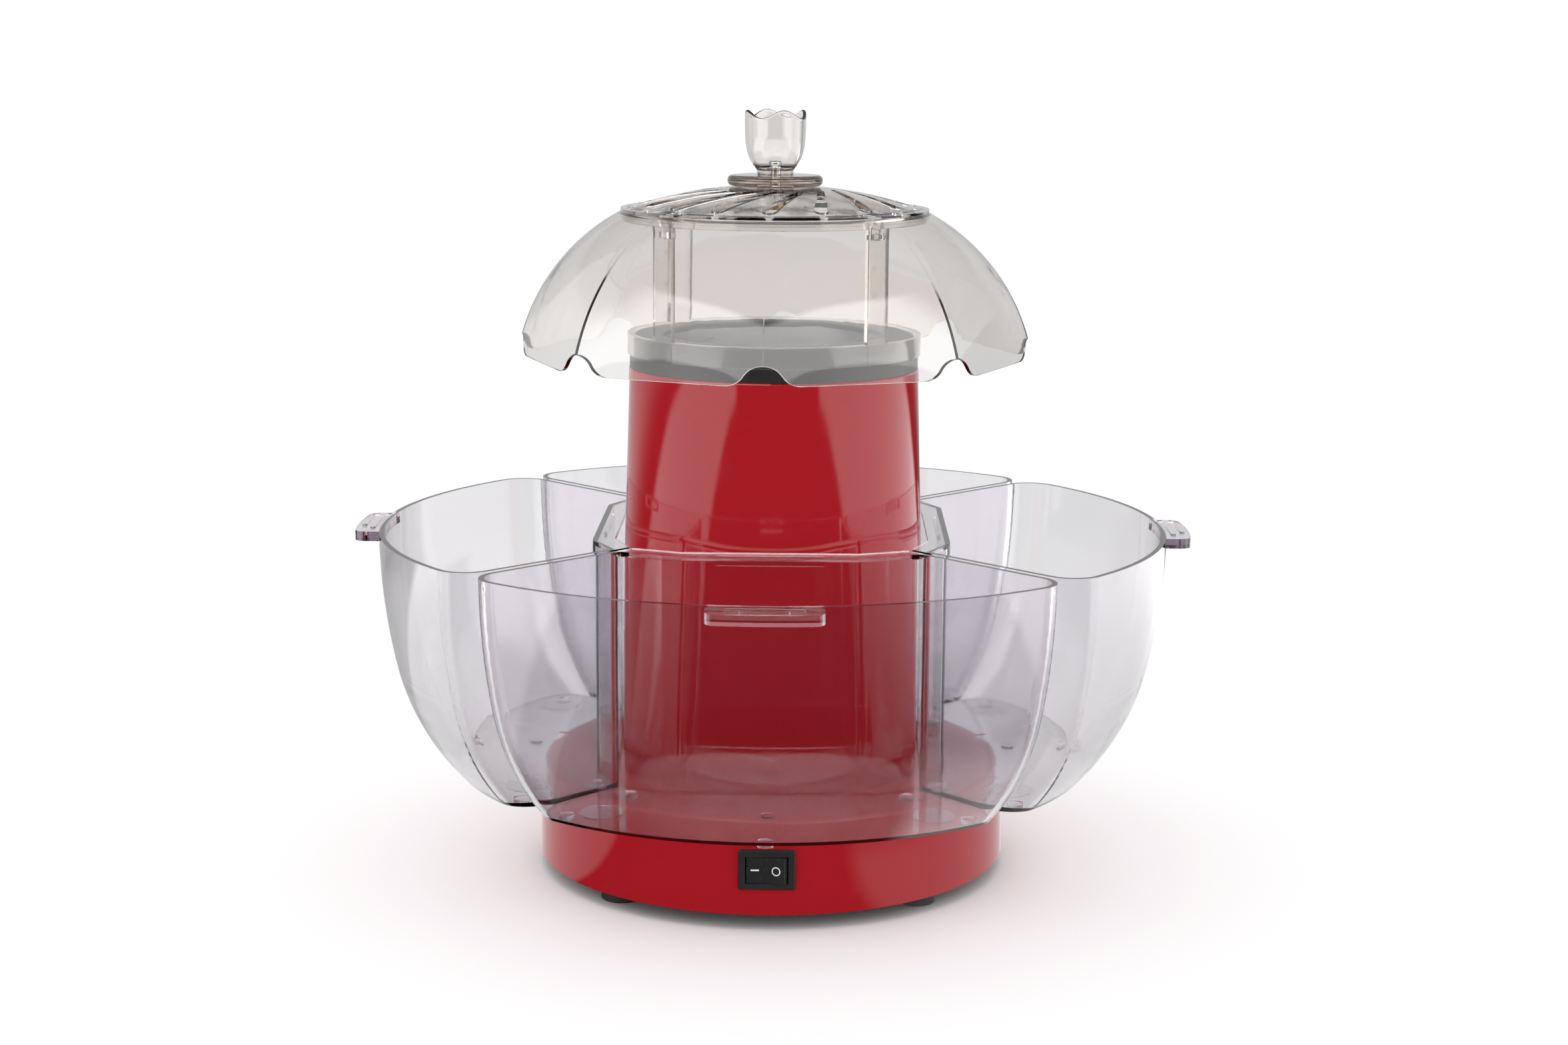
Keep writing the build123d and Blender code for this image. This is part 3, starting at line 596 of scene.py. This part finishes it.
# %% Sizes of the knob
CUP_BOTTOM = 0.27455
CUP_FOOT_R = 0.00705
CUP_SPREAD = 0.00475
CUP_CURVE = 0.0065
CUP_WALL = 0.0013
CUP_FLOOR = 0.0022
CUP_HOLE_R = 0.0016
CUP_RIM = 0.2961 - CUP_WALL / 2
CUP_WAVE = 0.0015
CUP_PETALS = 4
CUP_TURN = radians(18)
CUP_COLUMNS = 128
FOOT_BEVEL = 0.0002
FLOOR_BEVEL = 0.0006
WALL_ROWS = 28
RIM_ROWS = 6
MID_FLOOR = 0.6


def cup_radius(height):
    """The outside: steep at the foot, nearly upright at the rim."""
    rise = (height - CUP_BOTTOM) / CUP_CURVE
    return CUP_FOOT_R + CUP_SPREAD * tanh(rise)


print("knob is", round(2000 * cup_radius(CUP_RIM), 1), "mm wide at the rim")

# %% Outline of the knob's wall


def cup_rows(start, end, inset):
    """Points up or down one face of the wall, from one height to another."""
    heights = [start + (end - start) * k / WALL_ROWS for k in range(WALL_ROWS + 1)]
    return [(cup_radius(height) - inset, height) for height in heights]


def cup_column(angle):
    """The outline of the wall at one angle, as (radius, height) points from the screw hole round."""
    rim = CUP_RIM + CUP_WAVE * cos(CUP_PETALS * (angle - CUP_TURN))
    floor_top = CUP_BOTTOM + CUP_FLOOR
    foot = CUP_FOOT_R - FOOT_BEVEL
    outline = [(CUP_HOLE_R, CUP_BOTTOM), (CUP_FOOT_R * MID_FLOOR, CUP_BOTTOM), (foot, CUP_BOTTOM)]
    outline += cup_rows(CUP_BOTTOM + FOOT_BEVEL, rim, 0.0)
    centre = cup_radius(rim) - CUP_WALL / 2
    for k in range(1, RIM_ROWS):
        turn = pi * k / RIM_ROWS
        outline.append((centre + CUP_WALL / 2 * cos(turn), rim + CUP_WALL / 2 * sin(turn)))
    outline += cup_rows(rim, floor_top + FLOOR_BEVEL, CUP_WALL)
    inner = cup_radius(floor_top + FLOOR_BEVEL) - CUP_WALL
    outline += [(inner - FLOOR_BEVEL, floor_top), (inner * MID_FLOOR, floor_top), (CUP_HOLE_R, floor_top)]
    return outline


print("each column has", len(cup_column(0.0)), "points")

# %% Making and placing a mesh


def mesh_from_columns(name, columns):
    """Joins closed outlines, set round the axis, into a ring of quads."""
    count = len(columns)
    rows = len(columns[0])
    points = []
    for k, column in enumerate(columns):
        angle = 2 * pi * k / count
        points += [(r * cos(angle), r * sin(angle), z) for r, z in column]
    faces = []
    for k in range(count):
        here = k * rows
        beside = (k + 1) % count * rows
        for row in range(rows):
            above = (row + 1) % rows
            faces.append((here + row, beside + row, beside + above, here + above))
    mesh = bpy.data.meshes.new(name)
    mesh.from_pydata(points, [], faces)
    return mesh


def add_piece(name, mesh, material, body, sharp_angle=40):
    """Puts a mesh in the scene as a finished piece that rides on a body."""
    mesh.shade_smooth()
    mesh.set_sharp_from_angle(angle=radians(sharp_angle))
    piece = bpy.data.objects.new(name, mesh)
    bpy.context.scene.collection.objects.link(piece)
    dress(piece, material)
    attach(piece, body)
    print(name, len(mesh.polygons), "faces")
    return piece


# %% Tulip knob
columns = [cup_column(2 * pi * k / CUP_COLUMNS) for k in range(CUP_COLUMNS)]
cup = add_piece("tulip_knob", mesh_from_columns("tulip_knob", columns), LID_CLEAR, "lid")
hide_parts("knob_cup")

# %% [markdown]
# ## Marks that repeat
# Moulded parts carry small marks: ribs that space two rims apart and the round prints of the pins
# that push a part out of its mould. They repeat in rows and round the axis. Copying them by hand
# would do, but a Geometry Nodes tree says the rule once: a row of points carries a shape, the row
# is turned round the axis, and the instances become real faces at the end. Its inputs are named,
# so the same tree makes every kind of mark.

# %% Inputs of the tree
MARK_INPUTS = (
    ("Row Count", "NodeSocketInt"),
    ("Row Start", "NodeSocketVector"),
    ("Row Step", "NodeSocketVector"),
    ("Rounds", "NodeSocketInt"),
    ("First Turn", "NodeSocketFloat"),
    ("Tip", "NodeSocketVector"),
    ("Size", "NodeSocketVector"),
    ("Sides", "NodeSocketInt"),
    ("Finish", "NodeSocketMaterial"),
)

# %% A shape carried along a row


def mark_shape(tree, given):
    """Sides of 0 gives blocks of Size. More sides give coins of radius Size X and height Size Z."""
    size = split_vector(tree, given["Size"])
    coin = tree.nodes.new("GeometryNodeMeshCylinder")
    link(tree, larger(tree, given["Sides"], 3.0), coin.inputs["Vertices"])
    link(tree, size["X"], coin.inputs["Radius"])
    link(tree, size["Z"], coin.inputs["Depth"])
    block = tree.nodes.new("GeometryNodeMeshCube")
    link(tree, given["Size"], block.inputs["Size"])
    shape = tree.nodes.new("GeometryNodeSwitch")
    shape.input_type = "GEOMETRY"
    link(tree, maths(tree, "GREATER_THAN", given["Sides"], 2.0), shape.inputs["Switch"])
    link(tree, block.outputs["Mesh"], shape.inputs["False"])
    link(tree, coin.outputs["Mesh"], shape.inputs["True"])
    return shape.outputs["Output"]


def row_of(tree, given, shape):
    row = tree.nodes.new("GeometryNodeMeshLine")
    for name, socket in (("Row Count", "Count"), ("Row Start", "Start Location"), ("Row Step", "Offset")):
        link(tree, given[name], row.inputs[socket])
    carried = tree.nodes.new("GeometryNodeInstanceOnPoints")
    link(tree, row.outputs["Mesh"], carried.inputs["Points"])
    link(tree, shape, carried.inputs["Instance"])
    link(tree, given["Tip"], carried.inputs["Rotation"])
    return carried.outputs["Instances"]


# %% The row turned round the axis


def turned_round(tree, given, row):
    """Stacks one point for each round on the axis, and turns the row there by that round's angle."""
    axis = tree.nodes.new("GeometryNodeMeshLine")
    axis.inputs["Offset"].default_value = (0, 0, 0)
    link(tree, given["Rounds"], axis.inputs["Count"])
    step = maths(tree, "DIVIDE", 2 * pi, given["Rounds"])
    index = tree.nodes.new("GeometryNodeInputIndex").outputs[0]
    turn = maths(tree, "ADD", times(tree, index, step), given["First Turn"])
    about_z = tree.nodes.new("ShaderNodeCombineXYZ")
    link(tree, turn, about_z.inputs["Z"])
    turned = tree.nodes.new("GeometryNodeInstanceOnPoints")
    link(tree, axis.outputs["Mesh"], turned.inputs["Points"])
    link(tree, row, turned.inputs["Instance"])
    link(tree, about_z.outputs[0], turned.inputs["Rotation"])
    return turned.outputs["Instances"]


def mark_tree():
    tree = bpy.data.node_groups.new("repeated_marks", "GeometryNodeTree")
    for name, kind in MARK_INPUTS:
        tree.interface.new_socket(name, in_out="INPUT", socket_type=kind)
    tree.interface.new_socket("Geometry", in_out="OUTPUT", socket_type="NodeSocketGeometry")
    given = tree.nodes.new("NodeGroupInput").outputs
    rounds = turned_round(tree, given, row_of(tree, given, mark_shape(tree, given)))
    real = tree.nodes.new("GeometryNodeRealizeInstances")
    link(tree, rounds, real.inputs["Geometry"])
    finish = tree.nodes.new("GeometryNodeSetMaterial")
    link(tree, real.outputs["Geometry"], finish.inputs["Geometry"])
    link(tree, given["Finish"], finish.inputs["Material"])
    out = tree.nodes.new("NodeGroupOutput")
    link(tree, finish.outputs["Geometry"], out.inputs["Geometry"])
    return tree


MARKS = mark_tree()
print("tree of", len(MARKS.nodes), "nodes")

# %% A mesh from the tree


def repeated(name, **values):
    """The mesh that the tree makes from these inputs. A name's _ stands for a space."""
    carrier = bpy.data.objects.new(name, bpy.data.meshes.new(name))
    bpy.context.scene.collection.objects.link(carrier)
    modifier = carrier.modifiers.new("marks", "NODES")
    modifier.node_group = MARKS
    sockets = {}
    for item in MARKS.interface.items_tree:
        if item.in_out == "INPUT":
            sockets[item.name] = item.identifier
    for key, value in values.items():
        modifier[sockets[key.replace("_", " ")]] = value
    depsgraph = bpy.context.evaluated_depsgraph_get()
    mesh = bpy.data.meshes.new_from_object(carrier.evaluated_get(depsgraph))
    bpy.data.objects.remove(carrier)
    return mesh


# %% [markdown]
# ## Ribs under the cap
# Twenty small ribs stand between the cap's rim and the lid's ring. Seen from the side they make
# the row of light notches under the cap. Each is a block, sunk a little into the rim, so one row
# of one block is turned twenty times.

# %% Cap ribs
LID_TURN = radians(-1.4)
CAP_RIM_Z = 0.2596
RIB_R = 0.0566
RIB_COUNT = 20
RIB_LIFT = 0.0006
RIB_SIZE = (0.0007, 0.0018, 0.0009)

rim_ribs = repeated(
    "cap_rim_ribs",
    Row_Count=1,
    Row_Start=(RIB_R, 0, CAP_RIM_Z + RIB_LIFT),
    Row_Step=(0, 0, 0),
    Rounds=RIB_COUNT,
    First_Turn=LID_TURN,
    Tip=(0, 0, 0),
    Size=RIB_SIZE,
    Sides=0,
    Finish=LID_CLEAR,
)
add_piece("cap_rim_ribs", rim_ribs, LID_CLEAR, "lid")

# %% [markdown]
# ## Pin prints on the legs
# Three ejector pins pressed on each leg of the lid and left faint round prints, one above the
# other. A bump in the material would do from far off, but a shallow coin has an edge that shines,
# so the prints are real.

# %% Leg prints
LEG_COUNT = 4
LEG_TURN = LID_TURN + pi / LEG_COUNT
LEG_FACE_R = 0.0569
LEG_PRINT_PROUD = 0.00008
LEG_PRINT_ASIDE = 0.0024
LEG_PRINT_LOW = 0.2225
LEG_PRINT_STEP = 0.0115
LEG_PRINT_R = 0.001
PRINT_DEPTH = 0.0001

pin_prints = repeated(
    "leg_pin_prints",
    Row_Count=3,
    Row_Start=(LEG_FACE_R + LEG_PRINT_PROUD, LEG_PRINT_ASIDE, LEG_PRINT_LOW),
    Row_Step=(0, 0, LEG_PRINT_STEP),
    Rounds=LEG_COUNT,
    First_Turn=LEG_TURN,
    Tip=(0, pi / 2, 0),
    Size=(LEG_PRINT_R, LEG_PRINT_R, PRINT_DEPTH),
    Sides=20,
    Finish=LID_CLEAR,
)
add_piece("leg_pin_prints", pin_prints, LID_CLEAR, "lid")

# %% [markdown]
# ## Pin prints in the bowls
# Each bowl has a large print at both ends of its floor. The bowls pull off one by one, so each
# has its own piece that rides with it. All four come from the same row, turned a quarter further
# each time.

# %% Bowl prints
BOWL_FLOOR_TOP = 0.0453
BOWL_PRINT_PROUD = 0.00012
BOWL_PRINT_X = 0.0605
BOWL_PRINT_Y = -0.0925
BOWL_PRINT_R = 0.008

for index, side in enumerate(("front", "right", "back", "left")):
    name = side + "_bowl_pin_prints"
    prints = repeated(
        name,
        Row_Count=2,
        Row_Start=(-BOWL_PRINT_X, BOWL_PRINT_Y, BOWL_FLOOR_TOP + BOWL_PRINT_PROUD),
        Row_Step=(2 * BOWL_PRINT_X, 0, 0),
        Rounds=1,
        First_Turn=index * pi / 2,
        Tip=(0, 0, 0),
        Size=(BOWL_PRINT_R, BOWL_PRINT_R, PRINT_DEPTH),
        Sides=40,
        Finish=BOWL_CLEAR,
    )
    add_piece(name, prints, BOWL_CLEAR, side + "_bowl")

# %% [markdown]
# ## Floor paint and painted glow
# The floor is a sheet of matt white paint. The red shell and the bowls look down on it at a low
# angle, so what they mirror of it matters as much as the room. Plain white there would wash the
# gloss out, and real black cards would have to lie in view. So the floor is white to the eye, and
# mirrored rays see painted light on it, with no lamp to cast it: an emission where the side panels
# stand, a bright apron close beside the base and a dimmer skirt behind. Rays through clear walls
# see it a little greyer, a painted shade which keeps the bowls from fading into it.

# %% Painted glow of the floor, seen by mirrored rays
APRON_PAINTED_GLOW = 0.9
SKIRT_PAINTED_GLOW = 0.6
NEAR_INNER = 66.0
INNER_PER_METRE = 14.0
NEAR_OUTER = 142.0
OUTER_PER_METRE = 20.0
NEAR_DIM = 0.45
APRON_START = 43.0
APRON_SHIFT = 17.0


def distance_from_axis(tree, x, y):
    return maths(tree, "POWER", maths(tree, "ADD", times(tree, x, x), times(tree, y, y)), 0.5)


def painted_panel_glow(tree, x, y, far):
    """Painted light: an emission on the floor where the panels would light it. It starts further
    round close by than far off, and is weaker near the base."""
    inner = larger(tree, minus(tree, NEAR_INNER, times(tree, far, INNER_PER_METRE)), PANEL_INNER)
    outer = larger(tree, minus(tree, NEAR_OUTER, times(tree, far, OUTER_PER_METRE)), PANEL_OUTER)
    near_dim = ramp(tree, far, 0.2, 0.8, NEAR_DIM, 1.0)
    return times(tree, side_panels(tree, x, y, inner, outer), near_dim)


def painted_apron_and_skirt(tree, x, y, far):
    """Painted glow: the apron lies beside the base and starts nearer the front on the right. The skirt
    lies behind.
    """
    degrees_off = degrees_from_front(tree, x, y)
    start = minus(tree, APRON_START, times(tree, maths(tree, "SIGN", x), APRON_SHIFT))
    beside = ramp(tree, minus(tree, degrees_off, start), 0.0, 10.0, 0.0, 1.0)
    apron = times(tree, beside, ramp(tree, far, 0.17, 0.24, APRON_PAINTED_GLOW, 0.0))
    behind = ramp(tree, degrees_off, 92.0, 108.0, 0.0, 1.0)
    skirt = times(tree, behind, ramp(tree, far, 0.5, 0.9, SKIRT_PAINTED_GLOW, 0.0))
    return larger(tree, apron, skirt)


# %% Floor paint, with painted glow and painted shade
FLOOR_SEEN = 0.86
FLOOR_ROUGHNESS = 0.75
# Painted shade: rays through clear walls see the floor greyer than the eye does.
FLOOR_THROUGH_PAINTED_SHADE = 0.74


def painted_floor_glow(tree):
    x, y, _ = split_vector(tree, object_coordinates(tree))
    far = distance_from_axis(tree, x, y)
    # Painted light: the floor glows for mirrored rays, and no lamp lights it.
    emission = tree.nodes.new("ShaderNodeEmission")
    painted_glow_strength = larger(tree, painted_panel_glow(tree, x, y, far), painted_apron_and_skirt(tree, x, y, far))
    link(tree, painted_glow_strength, emission.inputs["Strength"])
    return emission.outputs[0]


def floor_paint_with_painted_light():
    material, tree, shader = new_material("studio_white_painted_light", (FLOOR_SEEN,) * 3, FLOOR_ROUGHNESS)
    shader.inputs["Specular IOR Level"].default_value = 0.0
    vary_colour(tree, shader, noise(tree, 3, 2), (0.88, 0.88, 0.88), (0.9, 0.9, 0.9))
    rays = tree.nodes.new("ShaderNodeLightPath").outputs
    # Painted shade: a greyer floor for rays through clear walls.
    through = tree.nodes.new("ShaderNodeBsdfDiffuse")
    through.inputs["Color"].default_value = (*(FLOOR_THROUGH_PAINTED_SHADE,) * 3, 1)
    result = switch_shader(tree, rays["Is Transmission Ray"], shader.outputs[0], through.outputs[0])
    # Mirrored rays, but not matt ones, see the floor's painted glow.
    not_matt = minus(tree, 1.0, rays["Is Diffuse Ray"])
    condition = times(tree, was_mirrored(tree, rays), not_matt)
    result = switch_shader(tree, condition, result, painted_floor_glow(tree))
    link(tree, result, tree.nodes["Material Output"].inputs["Surface"])
    return material


floor.data.materials.append(floor_paint_with_painted_light())
print("floor painted", floor.data.materials[0].name)

# %% [markdown]
# ## Output
# Light may have to go through a dozen clear walls before it reaches white, so bounces are allowed
# to run deep. Bright paths that few samples find would leave specks, so caustics are off and
# strong indirect light is held back. The plain Standard view keeps the white of the room white.

# %% Output
scene = bpy.context.scene
scene.view_settings.view_transform = "Standard"
scene.cycles.max_bounces = 24
scene.cycles.transmission_bounces = 20
scene.cycles.transparent_max_bounces = 24
scene.cycles.caustics_reflective = False
scene.cycles.caustics_refractive = False
scene.cycles.sample_clamp_indirect = 4.0
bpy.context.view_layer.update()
